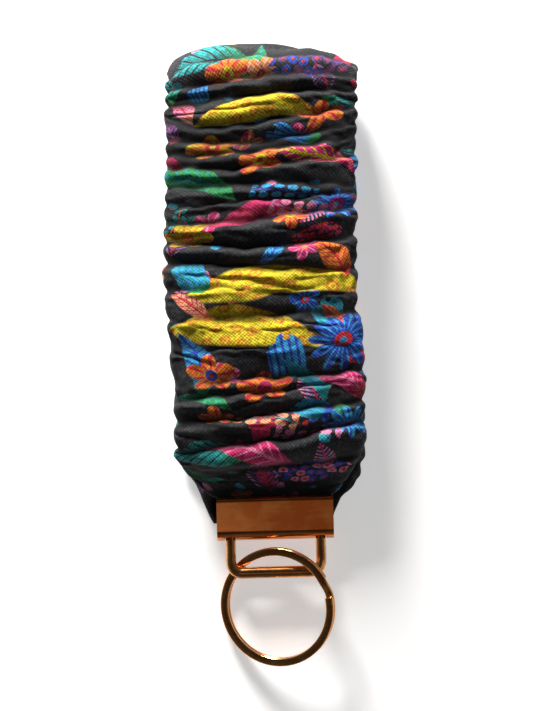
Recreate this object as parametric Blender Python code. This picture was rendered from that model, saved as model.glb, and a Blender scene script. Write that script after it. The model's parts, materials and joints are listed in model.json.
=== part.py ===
"""Wristlet keychain: a gathered fabric loop on an elastic band, closed by crimped key fob hardware.

The loop lies flat. +X is across the strap, +Y runs from the split ring to the strap's fold, and
+Z is up. The origin is on the surface that the keychain lies on, below the middle of its box.
"""

import math

import bmesh
import bpy
from mathutils import Matrix, Vector

MM = 0.001

# Overall length, from the split ring's far edge to the strap's fold.
HALF_LENGTH = 85.2 * MM
GAP = 0.25 * MM

# Gathered sleeve. Half sizes are across the strap and through one layer of it.
SLEEVE_HALF_WIDTH = 25.0 * MM
SLEEVE_HALF_THICK = 4.1 * MM
SLEEVE_ROUNDNESS = 2.6
CRIMPED_HALF_WIDTH = 15.2 * MM
CRIMPED_HALF_THICK = 1.1 * MM
CRIMPED_ROUNDNESS = 6.0
CHANNEL_HALF_WIDTH = 14.0 * MM
CHANNEL_HALF_THICK = 0.65 * MM
CHANNEL_ROUNDNESS = 6.0
SECTION_POINTS = 24

# Elastic band and the thread of the sleeve's seam, both inside the channel.
ELASTIC_HALF_WIDTH = 12.7 * MM
ELASTIC_HALF_THICK = 0.4 * MM
SEAM_THREAD_RADIUS = 0.2 * MM
SEAM_THREAD_X = 13.35 * MM
THREAD_SIDES = 6

# Clamp: one sheet folded into two jaws, with the wire loop's bar in the fold.
CLAMP_WIDTH = 32.0 * MM
CLAMP_LENGTH = 12.0 * MM
SHEET = 0.8 * MM
JAW_HALF_GAP = 2.9 * MM
LIP_RADIUS = 0.7 * MM
FOLD_HALF_DEPTH = 2.1 * MM
CLAMP_CORNER_RADIUS = 1.3 * MM
CLAMP_BOTTOM_Y = -50.4 * MM
SLOT_HALF_HEIGHT = 3.0 * MM
SLOT_INNER_X = 10.1 * MM
SLOT_OUTER_X = 14.2 * MM

# Wire loop.
WIRE_RADIUS = 1.4 * MM
LEG_X = 12.4 * MM
LOOP_BAR_Y = -59.45 * MM
LOOP_BAR_Z = 6.25 * MM
LOOP_INNER_BEND = 1.8 * MM
LOOP_OUTER_BEND = 3.0 * MM
WIRE_SIDES = 12

# Split ring: two flat turns of one wire with a step between them.
RING_OUTER_RADIUS = 16.25 * MM
RING_RADIAL_WIDTH = 2.2 * MM
RING_TURN_THICK = 1.2 * MM
RING_TURN_GAP = 0.1 * MM
RING_EDGE_ROUND = 0.3 * MM
RING_TILT = math.radians(-18.0)
RING_STEP_START = math.radians(14.0)
RING_STEP_ANGLE = math.radians(16.0)
RING_END_GAP = math.radians(1.5)
RING_STEPS_PER_TURN = 66

# Shape of the loop that the strap makes.
FOLD_CENTRE_RADIUS = 7.6 * MM
STRAP_START_Y = -46.1 * MM
WIDEN_FROM_Y = -38.2 * MM
WIDEN_TO_Y = -22.0 * MM
CLAMP_TOP_Y = CLAMP_BOTTOM_Y + CLAMP_LENGTH
RUN_STATIONS = 26
FOLD_STATIONS = 12

CLAMP_HALF_THICK = JAW_HALF_GAP + SHEET
FOLD_Y = HALF_LENGTH - SLEEVE_HALF_THICK - FOLD_CENTRE_RADIUS
FOLD_GAP = 2 * (FOLD_CENTRE_RADIUS - SLEEVE_HALF_THICK)
CLAMP_AXIS_Y = CLAMP_BOTTOM_Y + FOLD_HALF_DEPTH + SHEET / 2


def clear_scene():
    """Remove every object that the scene starts with."""
    for obj in list(bpy.data.objects):
        bpy.data.objects.remove(obj, do_unlink=True)


def make_material(name, colour, metallic, roughness):
    """A plain Principled material."""
    material = bpy.data.materials.new(name)
    material.use_nodes = True
    shader = material.node_tree.nodes["Principled BSDF"]
    shader.inputs["Base Color"].default_value = (*colour, 1.0)
    shader.inputs["Metallic"].default_value = metallic
    shader.inputs["Roughness"].default_value = roughness
    return material


def object_from_bmesh(name, shape, material, origin=(0.0, 0.0, 0.0), sharp_angle=35.0):
    """A smooth shaded object whose origin is at the given world point."""
    bmesh.ops.recalc_face_normals(shape, faces=shape.faces)
    bmesh.ops.translate(shape, verts=shape.verts, vec=-Vector(origin))
    mesh = bpy.data.meshes.new(name)
    shape.to_mesh(mesh)
    shape.free()
    mesh.shade_smooth()
    mesh.set_sharp_from_angle(angle=math.radians(sharp_angle))
    mesh.materials.append(material)
    obj = bpy.data.objects.new(name, mesh)
    obj.location = origin
    bpy.context.scene.collection.objects.link(obj)
    return obj


def ease(start, end, value):
    """Smooth step from 0 at start to 1 at end."""
    share = min(1.0, max(0.0, (value - start) / (end - start)))
    return share * share * (3.0 - 2.0 * share)


def mix(first, second, share):
    return first + (second - first) * share


# --- strap path -----------------------------------------------------------------------------


def layer_half_thick(y):
    """Half the thickness of one layer: thin in the jaws, full along the strap."""
    return mix(CRIMPED_HALF_THICK, SLEEVE_HALF_THICK, ease(WIDEN_FROM_Y, WIDEN_TO_Y, y))


def lower_centre_z(y):
    """The lower layer drops from the jaws onto the surface that it lies on."""
    crimped = CLAMP_HALF_THICK - GAP / 2 - CRIMPED_HALF_THICK
    return mix(crimped, SLEEVE_HALF_THICK, ease(WIDEN_FROM_Y, WIDEN_TO_Y, y))


def layer_gap(y):
    """The gap between the layers opens from the jaws towards the fold."""
    share = min(1.0, max(0.0, (y - CLAMP_TOP_Y) / (FOLD_Y - CLAMP_TOP_Y)))
    return mix(GAP, FOLD_GAP, 1.0 - (1.0 - share) ** 2)


def upper_centre_z(y):
    return lower_centre_z(y) + 2 * layer_half_thick(y) + layer_gap(y)


def run_positions():
    """Y places along one run, closer together where the strap widens."""
    places = []
    for step in range(RUN_STATIONS):
        share = step / RUN_STATIONS
        places.append(mix(STRAP_START_Y, FOLD_Y, 0.55 * share + 0.45 * share * share))
    return places


def strap_path():
    """(centre, widening share) at each station, from the lower end round the fold to the upper."""
    stations = []
    for y in run_positions():
        stations.append((Vector((0.0, y, lower_centre_z(y))), ease(WIDEN_FROM_Y, WIDEN_TO_Y, y)))
    fold_z = SLEEVE_HALF_THICK + FOLD_CENTRE_RADIUS
    for step in range(FOLD_STATIONS + 1):
        turn = math.pi * step / FOLD_STATIONS
        y = FOLD_Y + FOLD_CENTRE_RADIUS * math.sin(turn)
        z = fold_z - FOLD_CENTRE_RADIUS * math.cos(turn)
        stations.append((Vector((0.0, y, z)), 1.0))
    for y in reversed(run_positions()):
        stations.append((Vector((0.0, y, upper_centre_z(y))), ease(WIDEN_FROM_Y, WIDEN_TO_Y, y)))
    return stations


def strap_frames():
    """(centre, outward direction, widening share) at each station of the strap."""
    stations = strap_path()
    last = len(stations) - 1
    frames = []
    for index, (centre, widening) in enumerate(stations):
        along = stations[min(index + 1, last)][0] - stations[max(index - 1, 0)][0]
        along.normalize()
        outward = Vector((0.0, along.z, -along.y))
        if index in (0, last):
            outward = Vector((0.0, 0.0, -1.0 if index == 0 else 1.0))
        frames.append((centre, outward, widening))
    return frames


def rounded_section(half_width, half_thick, roundness, points):
    """Points of a superellipse: roundness 2 is an ellipse, and more is squarer."""
    section = []
    for index in range(points):
        angle = 2.0 * math.pi * index / points
        across = math.cos(angle)
        through = math.sin(angle)
        x = half_width * math.copysign(abs(across) ** (2.0 / roundness), across)
        n = half_thick * math.copysign(abs(through) ** (2.0 / roundness), through)
        section.append((x, n))
    return section


def ring_of_verts(shape, centre, outward, section):
    across = Vector((1.0, 0.0, 0.0))
    return [shape.verts.new(centre + across * x + outward * n) for x, n in section]


def join_rings(shape, first, second):
    count = len(first)
    for index in range(count):
        after = (index + 1) % count
        shape.faces.new((first[index], first[after], second[after], second[index]))


# --- soft parts -----------------------------------------------------------------------------


def sleeve_half_width(widening):
    return mix(CRIMPED_HALF_WIDTH, SLEEVE_HALF_WIDTH, widening)


def make_sleeve(material):
    """The gathered tube of cloth: open at both ends, with the elastic's channel through it."""
    shape = bmesh.new()
    outer_rings = []
    channel_rings = []
    channel = rounded_section(
        CHANNEL_HALF_WIDTH, CHANNEL_HALF_THICK, CHANNEL_ROUNDNESS, SECTION_POINTS
    )
    for centre, outward, widening in strap_frames():
        outer = rounded_section(
            sleeve_half_width(widening),
            mix(CRIMPED_HALF_THICK, SLEEVE_HALF_THICK, widening),
            mix(CRIMPED_ROUNDNESS, SLEEVE_ROUNDNESS, widening),
            SECTION_POINTS,
        )
        outer_rings.append(ring_of_verts(shape, centre, outward, outer))
        channel_rings.append(ring_of_verts(shape, centre, outward, channel))
    for rings in (outer_rings, channel_rings):
        for first, second in zip(rings[:-1], rings[1:]):
            join_rings(shape, first, second)
    join_rings(shape, outer_rings[0], channel_rings[0])
    join_rings(shape, outer_rings[-1], channel_rings[-1])
    return object_from_bmesh("fabric_sleeve", shape, material)


def sweep_in_channel(name, section, material):
    """A closed solid of one section, swept along the strap."""
    shape = bmesh.new()
    rings = []
    for centre, outward, _ in strap_frames():
        rings.append(ring_of_verts(shape, centre, outward, section))
    for first, second in zip(rings[:-1], rings[1:]):
        join_rings(shape, first, second)
    shape.faces.new(rings[0])
    shape.faces.new(rings[-1])
    return object_from_bmesh(name, shape, material)


def make_elastic(material):
    """The flat elastic band that gathers the sleeve."""
    section = [
        (ELASTIC_HALF_WIDTH, ELASTIC_HALF_THICK),
        (-ELASTIC_HALF_WIDTH, ELASTIC_HALF_THICK),
        (-ELASTIC_HALF_WIDTH, -ELASTIC_HALF_THICK),
        (ELASTIC_HALF_WIDTH, -ELASTIC_HALF_THICK),
    ]
    return sweep_in_channel("elastic_band", section, material)


def make_seam_thread(material):
    """The thread of the sleeve's long seam, turned to the inside, beside the elastic."""
    section = []
    for index in range(THREAD_SIDES):
        angle = 2.0 * math.pi * index / THREAD_SIDES
        x = SEAM_THREAD_X + SEAM_THREAD_RADIUS * math.cos(angle)
        section.append((x, SEAM_THREAD_RADIUS * math.sin(angle)))
    return sweep_in_channel("seam_thread", section, material)


# --- clamp ----------------------------------------------------------------------------------


def arc_points(centre_y, centre_z, radius_y, radius_z, start, end, steps):
    """Points (y, z) of an elliptical arc between two angles, measured from +Y towards +Z."""
    points = []
    for step in range(steps + 1):
        angle = math.radians(mix(start, end, step / steps))
        points.append((centre_y + radius_y * math.cos(angle), centre_z + radius_z * math.sin(angle)))
    return points


def clamp_half_line():
    """The upper half of the sheet's middle line, from its lip to the bottom of the fold."""
    plate_z = JAW_HALF_GAP + SHEET / 2
    lip_y = CLAMP_TOP_Y - SHEET / 2 - LIP_RADIUS
    lip = arc_points(lip_y, plate_z - LIP_RADIUS, LIP_RADIUS, LIP_RADIUS, 0.0, 90.0, 5)
    fold = arc_points(CLAMP_AXIS_Y, 0.0, FOLD_HALF_DEPTH, plate_z, 90.0, 180.0, 9)
    return lip + fold


def clamp_profile():
    """The closed outline (y, z) of the folded sheet about its own middle plane."""
    half = clamp_half_line()
    line = half + [(y, -z) for y, z in reversed(half[:-1])]
    outer = []
    inner = []
    last = len(line) - 1
    for index, (y, z) in enumerate(line):
        before = line[max(index - 1, 0)]
        after = line[min(index + 1, last)]
        along = Vector((after[0] - before[0], after[1] - before[1])).normalized()
        if index in (0, last):
            along = Vector((0.0, 1.0))
        side = Vector((along.y, -along.x)) * SHEET / 2
        outer.append((y + side.x, z + side.y))
        inner.append((y - side.x, z - side.y))
    return outer + inner[::-1]


def prism(name, outline, half_width, to_world):
    """An object made by extruding a closed outline both ways by half_width."""
    shape = bmesh.new()
    near = [shape.verts.new(to_world(-half_width, a, b)) for a, b in outline]
    far = [shape.verts.new(to_world(half_width, a, b)) for a, b in outline]
    join_rings(shape, near, far)
    shape.faces.new(near)
    shape.faces.new(far)
    bmesh.ops.recalc_face_normals(shape, faces=shape.faces)
    mesh = bpy.data.meshes.new(name)
    shape.to_mesh(mesh)
    shape.free()
    obj = bpy.data.objects.new(name, mesh)
    bpy.context.scene.collection.objects.link(obj)
    return obj


def hide_helper(obj):
    obj.hide_render = True
    obj.display_type = "WIRE"


def clamp_outline_keeper():
    """A tall block with the clamp's front outline, whose mouth corners are rounded."""
    half = CLAMP_WIDTH / 2
    radius = CLAMP_CORNER_RADIUS
    below = CLAMP_BOTTOM_Y - CLAMP_LENGTH / 4
    outline = [(half, below)]
    for step in range(6):
        angle = math.pi / 2 * step / 5
        outline.append(
            (half - radius + radius * math.cos(angle), CLAMP_TOP_Y - radius + radius * math.sin(angle))
        )
    outline += [(-x, y) for x, y in reversed(outline)]
    keeper = prism(
        "clamp_outline_keeper",
        outline,
        CLAMP_HALF_THICK * 2,
        lambda depth, x, y: Vector((x, y, CLAMP_HALF_THICK + depth)),
    )
    hide_helper(keeper)
    return keeper


def clamp_slot_cutter(side):
    """A box that opens the fold where one leg of the wire loop comes out."""
    middle = side * (SLOT_INNER_X + SLOT_OUTER_X) / 2
    outline = [
        (CLAMP_BOTTOM_Y - SHEET, -SLOT_HALF_HEIGHT),
        (CLAMP_AXIS_Y, -SLOT_HALF_HEIGHT),
        (CLAMP_AXIS_Y, SLOT_HALF_HEIGHT),
        (CLAMP_BOTTOM_Y - SHEET, SLOT_HALF_HEIGHT),
    ]
    cutter = prism(
        f"clamp_slot_cutter_{'right' if side > 0 else 'left'}",
        outline,
        (SLOT_OUTER_X - SLOT_INNER_X) / 2,
        lambda x, y, z: Vector((middle + x, y, CLAMP_HALF_THICK + z)),
    )
    hide_helper(cutter)
    return cutter


def add_boolean(obj, other, operation):
    modifier = obj.modifiers.new(f"{operation.lower()}_{other.name}", "BOOLEAN")
    modifier.operation = operation
    modifier.object = other
    modifier.solver = "EXACT"


def make_clamp(material):
    """The folded clamp, crimped over both ends of the strap."""
    clamp = prism(
        "clamp",
        clamp_profile(),
        CLAMP_WIDTH / 2,
        lambda x, y, z: Vector((x, y, CLAMP_HALF_THICK + z)),
    )
    clamp.data.materials.append(material)
    clamp.data.shade_smooth()
    clamp.data.set_sharp_from_angle(angle=math.radians(35.0))
    add_boolean(clamp, clamp_outline_keeper(), "INTERSECT")
    for side in (-1, 1):
        add_boolean(clamp, clamp_slot_cutter(side), "DIFFERENCE")
    return clamp


# --- wire loop and split ring ---------------------------------------------------------------


def loop_angle():
    """How far the wire loop is raised from the clamp's plane."""
    return math.atan2(LOOP_BAR_Z - CLAMP_HALF_THICK, CLAMP_AXIS_Y - LOOP_BAR_Y)


def loop_line():
    """Closed middle line (x, distance from the clamp's axis) of the bent wire."""
    reach = math.hypot(LOOP_BAR_Z - CLAMP_HALF_THICK, CLAMP_AXIS_Y - LOOP_BAR_Y)
    corners = (
        (LEG_X - LOOP_OUTER_BEND, reach - LOOP_OUTER_BEND, LOOP_OUTER_BEND, 0.0),
        (LOOP_OUTER_BEND - LEG_X, reach - LOOP_OUTER_BEND, LOOP_OUTER_BEND, 90.0),
        (LOOP_INNER_BEND - LEG_X, LOOP_INNER_BEND, LOOP_INNER_BEND, 180.0),
        (LEG_X - LOOP_INNER_BEND, LOOP_INNER_BEND, LOOP_INNER_BEND, 270.0),
    )
    line = []
    for x, distance, radius, start in corners:
        line += arc_points(x, distance, radius, radius, start, start + 90.0, 6)
    return line


def make_wire_loop(material):
    """A closed rectangle of round wire that swings in the clamp's fold."""
    shape = bmesh.new()
    line = loop_line()
    raised = loop_angle()
    outward = Vector((0.0, -math.cos(raised), math.sin(raised)))
    across = Vector((1.0, 0.0, 0.0))
    above = across.cross(outward)
    axis = Vector((0.0, CLAMP_AXIS_Y, CLAMP_HALF_THICK))
    rings = []
    for index, (x, distance) in enumerate(line):
        before = line[index - 1]
        after = line[(index + 1) % len(line)]
        along = Vector((after[0] - before[0], after[1] - before[1])).normalized()
        side = across * along.y - outward * along.x
        centre = axis + across * x + outward * distance
        ring = []
        for corner in range(WIRE_SIDES):
            angle = 2.0 * math.pi * (corner + 0.5) / WIRE_SIDES
            offset = side * math.cos(angle) + above * math.sin(angle)
            ring.append(shape.verts.new(centre + offset * WIRE_RADIUS))
        rings.append(ring)
    for index, ring in enumerate(rings):
        join_rings(shape, ring, rings[(index + 1) % len(rings)])
    return object_from_bmesh("wire_loop", shape, material, origin=axis, sharp_angle=60.0)


def ring_turn_height(turned):
    """Height of the wire's middle at an angle along its two turns."""
    half = (RING_TURN_THICK + RING_TURN_GAP) / 2
    first_turn = 2.0 * math.pi - RING_STEP_ANGLE
    return mix(-half, half, ease(first_turn, 2.0 * math.pi, turned))


def ring_angles():
    """Evenly spaced angles along the wire's two turns."""
    whole = 4.0 * math.pi - RING_STEP_ANGLE - 2 * RING_END_GAP
    count = 2 * RING_STEPS_PER_TURN
    return [RING_END_GAP + whole * index / count for index in range(count + 1)]


def ring_section():
    """Outline (radial, axial) of the flattened wire, with its corners taken off."""
    wide = RING_RADIAL_WIDTH / 2
    tall = RING_TURN_THICK / 2
    cut = RING_EDGE_ROUND
    quarter = [(wide, tall - cut), (wide - cut, tall)]
    left = [(-radial, axial) for radial, axial in reversed(quarter)]
    upper = quarter + left
    return upper + [(-radial, -axial) for radial, axial in upper]


def ring_centre():
    """The ring lies on the surface at its low side, and its far edge ends the object."""
    outer = RING_OUTER_RADIUS
    tilt = abs(RING_TILT)
    stack = RING_TURN_THICK + RING_TURN_GAP / 2
    height = outer * math.sin(tilt) + stack * math.cos(tilt)
    return Vector((0.0, outer - HALF_LENGTH, height))


def make_split_ring(material):
    """Two turns of flat wire, one on the other, tilted over the wire loop's bar."""
    shape = bmesh.new()
    section = ring_section()
    middle_radius = RING_OUTER_RADIUS - RING_RADIAL_WIDTH / 2
    place = Matrix.Translation(ring_centre()) @ Matrix.Rotation(RING_TILT, 4, "Y")
    rings = []
    for turned in ring_angles():
        angle = RING_STEP_START + turned
        outward = Vector((math.cos(angle), math.sin(angle), 0.0))
        middle = Vector((0.0, 0.0, ring_turn_height(turned)))
        ring = []
        for radial, axial in section:
            point = middle + outward * (middle_radius + radial) + Vector((0.0, 0.0, axial))
            ring.append(shape.verts.new(place @ point))
        rings.append(ring)
    for first, second in zip(rings[:-1], rings[1:]):
        join_rings(shape, first, second)
    shape.faces.new(rings[0])
    shape.faces.new(rings[-1])
    hinge = Vector((0.0, LOOP_BAR_Y, LOOP_BAR_Z))
    return object_from_bmesh("split_ring", shape, material, origin=hinge)


def hang_on(child, parent):
    """Parent a moving piece to the piece that carries it, without moving it."""
    bpy.context.view_layer.update()
    child.parent = parent
    child.matrix_parent_inverse = parent.matrix_world.inverted()


def main():
    clear_scene()
    cloth = make_material("printed_cotton", (0.045, 0.045, 0.055), 0.0, 0.85)
    elastic = make_material("woven_elastic", (0.72, 0.70, 0.66), 0.0, 0.8)
    thread = make_material("black_thread", (0.02, 0.02, 0.022), 0.0, 0.7)
    plated = make_material("rose_gold_plate", (0.55, 0.25, 0.10), 1.0, 0.25)
    sleeve = make_sleeve(cloth)
    hang_on(make_elastic(elastic), sleeve)
    hang_on(make_seam_thread(thread), sleeve)
    clamp = make_clamp(plated)
    hang_on(sleeve, clamp)
    wire_loop = make_wire_loop(plated)
    hang_on(wire_loop, clamp)
    hang_on(make_split_ring(plated), wire_loop)


main()
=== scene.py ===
import json
import math

import bmesh
import bpy
import numpy as np
from mathutils import Matrix, Vector


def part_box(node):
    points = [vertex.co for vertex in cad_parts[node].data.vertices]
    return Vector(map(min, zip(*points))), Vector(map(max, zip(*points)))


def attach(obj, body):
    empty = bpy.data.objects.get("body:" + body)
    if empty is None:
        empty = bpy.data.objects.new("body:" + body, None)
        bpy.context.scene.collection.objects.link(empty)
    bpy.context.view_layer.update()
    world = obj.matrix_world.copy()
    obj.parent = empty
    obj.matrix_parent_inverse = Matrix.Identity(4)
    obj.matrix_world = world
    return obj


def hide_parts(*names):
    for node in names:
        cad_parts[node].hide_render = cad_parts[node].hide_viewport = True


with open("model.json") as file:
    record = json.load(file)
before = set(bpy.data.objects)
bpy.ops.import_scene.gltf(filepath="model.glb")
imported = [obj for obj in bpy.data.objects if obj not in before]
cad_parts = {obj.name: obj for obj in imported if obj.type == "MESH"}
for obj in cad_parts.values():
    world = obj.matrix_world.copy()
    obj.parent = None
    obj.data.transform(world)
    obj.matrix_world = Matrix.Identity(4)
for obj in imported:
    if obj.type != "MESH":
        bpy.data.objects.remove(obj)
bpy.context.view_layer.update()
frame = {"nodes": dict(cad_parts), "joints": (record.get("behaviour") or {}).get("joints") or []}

MM = 0.001
SEED = 7
rng = np.random.default_rng(SEED)

SLEEVE_LOW, SLEEVE_HIGH = (np.array(corner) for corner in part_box("fabric_sleeve"))
CLAMP_LOW, CLAMP_HIGH = (np.array(corner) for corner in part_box("clamp"))
RING_LOW, RING_HIGH = (np.array(corner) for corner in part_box("split_ring"))
JOINT_PLACES = {joint["name"]: Vector(joint["pos_m"]) for joint in frame["joints"]}

# --- camera, floor and light ---

CAMERA_HEIGHT = 400 * MM
CAMERA_OFFSET_X = -1.2 * MM
CAMERA_ROLL = math.radians(-1.5)
VIEW_HEIGHT = 194.5 * MM
SENSOR_HEIGHT = 36.0

# Places and sizes in metres, powers in watts.
LAMPS = (
    ("key_light", (-0.2, 0.7, 0.26), 0.22, 17.5, (1.0, 0.98, 0.95)),
    ("fill_light", (0.6, -0.3, 0.5), 0.8, 0.8, (0.95, 0.97, 1.0)),
)
# Place, size, turn in degrees, brightness and colour of each card.
CARDS = (
    ("face_card", (0.01, -0.14, 0.8), 0.22, 0.0, 0.18, (1.0, 0.62, 0.42)),
    ("bright_card", (-0.056, -0.16, 0.79), 0.07, -38.0, 0.5, (0.7, 0.85, 1.0)),
)
# Height as a share of straight up, and the colour of the surroundings there.
SURROUNDINGS = (
    (0.35, (0.14, 0.136, 0.132, 1.0)),
    (0.85, (0.03, 0.029, 0.028, 1.0)),
)
FLOOR_SIZE = 3.0
FLOOR_COLOUR = (0.85, 0.85, 0.85, 1.0)
FLOOR_GLOW = 0.45


def add_object(name, data):
    """A new object with its data, in the scene."""
    piece = bpy.data.objects.new(name, data)
    bpy.context.scene.collection.objects.link(piece)
    return piece


def make_camera():
    """Looks straight down on the keychain, as it lies on its back."""
    data = bpy.data.cameras.new("camera")
    # The sensor's width goes with the picture's longer side, which is its height here.
    data.sensor_width = SENSOR_HEIGHT
    data.lens = SENSOR_HEIGHT * (CAMERA_HEIGHT - CLAMP_HIGH[2]) / VIEW_HEIGHT
    data.clip_start = 10 * MM
    camera = add_object("camera", data)
    camera.location = (CAMERA_OFFSET_X, 0.0, CAMERA_HEIGHT)
    camera.rotation_euler = (0.0, 0.0, CAMERA_ROLL)
    bpy.context.scene.camera = camera


def add_area_light(name, place, size, power, colour, rotation):
    data = bpy.data.lights.new(name, "AREA")
    data.shape = "SQUARE"
    data.size = size
    data.energy = power
    data.color = colour
    light = add_object(name, data)
    light.location = place
    light.rotation_euler = rotation


def make_lights():
    """Soft lamps that face the middle of the keychain, and faint cards that face the floor.

    The cards only show as reflections in the polished metal.
    """
    for name, place, size, power, colour in LAMPS:
        facing = (-Vector(place)).to_track_quat("-Z", "Y").to_euler()
        add_area_light(name, place, size, power, colour, facing)
    for name, place, size, turn, brightness, colour in CARDS:
        power = brightness * math.pi * size * size
        add_area_light(name, place, size, power, colour, (0.0, 0.0, math.radians(turn)))


def make_world():
    """Dim, even surroundings, darker overhead, which is what the metal mirrors."""
    world = bpy.data.worlds.new("studio")
    world.use_nodes = True
    bpy.context.scene.world = world
    tree = world.node_tree
    direction = wire_from(tree, "ShaderNodeTexCoord", "Generated")
    height = wire_from(tree, "ShaderNodeSeparateXYZ", "Z", Vector=direction)
    ramp = add_node(tree, "ShaderNodeValToRGB", Fac=height)
    for mark, (share, colour) in zip(ramp.color_ramp.elements, SURROUNDINGS):
        mark.position = share
        mark.color = colour
    set_inputs(tree.nodes["Background"], Color=Wire(tree, ramp.outputs["Color"]), Strength=1.0)


def make_stage():
    """The pale floor that the keychain lies on."""
    bpy.ops.mesh.primitive_plane_add(size=FLOOR_SIZE, location=(0.0, 0.0, 0.0))
    floor = bpy.context.object
    floor.name = "floor"
    material, _, shader = new_material("floor_pale")
    set_inputs(shader, Base_Color=FLOOR_COLOUR, Roughness=0.9)
    set_inputs(shader, Emission_Color=(1.0, 1.0, 1.0, 1.0), Emission_Strength=FLOOR_GLOW)
    floor.data.materials.append(material)


# --- node arithmetic ---


def math_method(operation):
    """A method that makes a math node from the wire and its arguments."""
    return lambda self, *others: self._math(operation, *others)


class Wire:
    """A socket in a node tree, with the arithmetic that a formula needs."""

    def __init__(self, tree, socket):
        self.tree = tree
        self.socket = socket

    def _math(self, operation, *others, clamp=False):
        node = self.tree.nodes.new("ShaderNodeMath")
        node.operation = operation
        node.use_clamp = clamp
        for index, value in enumerate((self, *others)):
            plug(value, node.inputs[index])
        return Wire(self.tree, node.outputs[0])

    __add__ = math_method("ADD")
    __sub__ = math_method("SUBTRACT")
    __mul__ = math_method("MULTIPLY")
    __truediv__ = math_method("DIVIDE")
    __pow__ = math_method("POWER")
    under = math_method("LESS_THAN")
    over = math_method("GREATER_THAN")
    max = math_method("MAXIMUM")
    abs = math_method("ABSOLUTE")
    fract = math_method("FRACT")
    floor = math_method("FLOOR")
    sin = math_method("SINE")
    cos = math_method("COSINE")
    atan2 = math_method("ARCTAN2")
    ping_pong = math_method("PINGPONG")

    def __neg__(self):
        return self * -1.0

    def __rsub__(self, other):
        return self * -1.0 + other

    def wrap(self, length):
        return self._math("WRAP", length, 0.0)

    def clamped(self):
        return self._math("ADD", 0.0, clamp=True)

    def soft(self, slope):
        """0 to 1 edge of a signed distance, as sharp as slope says."""
        return (self * slope + 0.5).clamped()


def plug(value, socket):
    """Link a wire to a socket, or set a constant on it."""
    if isinstance(value, Wire):
        value.tree.links.new(value.socket, socket)
    else:
        socket.default_value = value


def set_inputs(node, **inputs):
    """Link or set a node's inputs by name, with _ for a space."""
    for name, value in inputs.items():
        plug(value, node.inputs[name.replace("_", " ")])


def add_node(tree, kind, settings=None, **inputs):
    """A node with properties from settings and its inputs linked or set by name."""
    node = tree.nodes.new(kind)
    for name, value in (settings or {}).items():
        setattr(node, name, value)
    set_inputs(node, **inputs)
    return node


def wire_from(tree, kind, output, settings=None, **inputs):
    """The wire from a new node's output."""
    return Wire(tree, add_node(tree, kind, settings, **inputs).outputs[output])


def vector_math(operation, first, second=None, scale=None):
    node = first.tree.nodes.new("ShaderNodeVectorMath")
    node.operation = operation
    plug(first, node.inputs[0])
    if second is not None:
        plug(second, node.inputs[1])
    if scale is not None:
        plug(scale, node.inputs["Scale"])
    name = "Value" if operation in ("LENGTH", "DISTANCE", "DOT_PRODUCT") else "Vector"
    return Wire(first.tree, node.outputs[name])


def split_vector(vector):
    """The x, y and z of a vector. A dot product leaves no unused output on the shader's stack."""
    axes = ((1.0, 0.0, 0.0), (0.0, 1.0, 0.0), (0.0, 0.0, 1.0))
    return [vector_math("DOT_PRODUCT", vector, axis) for axis in axes]


def join_vector(x, y):
    return wire_from(x.tree, "ShaderNodeCombineXYZ", "Vector", X=x, Y=y)


def mix_colour(share, below, above):
    node = share.tree.nodes.new("ShaderNodeMix")
    node.data_type = "RGBA"
    plug(share, node.inputs["Factor"])
    plug(below, node.inputs[6])
    plug(above, node.inputs[7])
    return Wire(share.tree, node.outputs[2])


def noise(vector, scale, detail=2.0):
    settings = {"Vector": vector, "Scale": scale, "Detail": detail}
    return wire_from(vector.tree, "ShaderNodeTexNoise", "Fac", **settings)


def object_place(tree):
    """Where a point is on its piece, in metres."""
    return wire_from(tree, "ShaderNodeTexCoord", "Object")


def waves(distance, pitch):
    """0 to 1 and back once a pitch."""
    return (distance * (2.0 * math.pi / pitch)).sin() * 0.5 + 0.5


def finish_surface(shader, height, strength, depth):
    """Fine relief: a height of 1 stands for depth in metres."""
    settings = {"Height": height, "Strength": strength, "Distance": depth}
    set_inputs(shader, Normal=wire_from(height.tree, "ShaderNodeBump", "Normal", **settings))


def new_material(name):
    material = bpy.data.materials.new(name)
    material.use_nodes = True
    tree = material.node_tree
    return material, tree, tree.nodes["Principled BSDF"]


# --- printed cotton ---

CLOTH_MAP = "cloth_mm"
# A point attribute of the sleeve, from 0 in the valleys to about 1 on the puffs. The cloth's painted
# valley shade follows it.
RAISED = "raised"
THREAD_PITCH = 0.95
# Painted shade: the share of the cloth's brightness that is left at the bottom of a valley.
CREASE_SHADE = 0.12

BLACK = (0.012, 0.012, 0.016, 1.0)
YELLOW = (0.64, 0.5, 0.006, 1.0)
OCHRE = (0.66, 0.24, 0.008, 1.0)
ORANGE = (0.8, 0.2, 0.015, 1.0)
PEACH = (0.72, 0.3, 0.17, 1.0)
RED = (0.6, 0.02, 0.03, 1.0)
MAGENTA = (0.6, 0.015, 0.14, 1.0)
PINK = (0.72, 0.2, 0.36, 1.0)
LILAC = (0.42, 0.17, 0.42, 1.0)
PURPLE = (0.13, 0.035, 0.16, 1.0)
BLUE = (0.015, 0.06, 0.45, 1.0)
SKY = (0.03, 0.3, 0.6, 1.0)
TEAL = (0.01, 0.3, 0.3, 1.0)
GREEN = (0.02, 0.27, 0.07, 1.0)
# Radians, for a motif's random turn.
FULL_TURN = 6.283
GROUP_INPUTS = (
    ("Point", "NodeSocketVector"),
    ("Centre", "NodeSocketVector"),
    ("Turn", "NodeSocketFloat"),
    ("Size", "NodeSocketFloat"),
    ("Shape", "NodeSocketFloat"),
    ("Body", "NodeSocketColor"),
    ("Marks", "NodeSocketColor"),
    ("Heart", "NodeSocketColor"),
    ("Below", "NodeSocketColor"),
)


def hashed(x, y, salt):
    """An even-looking number from 0 to 1 for whole x and y."""
    return ((x * 12.9898 + y * 78.233 + salt).sin() * 4375.8545).fract()


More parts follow.
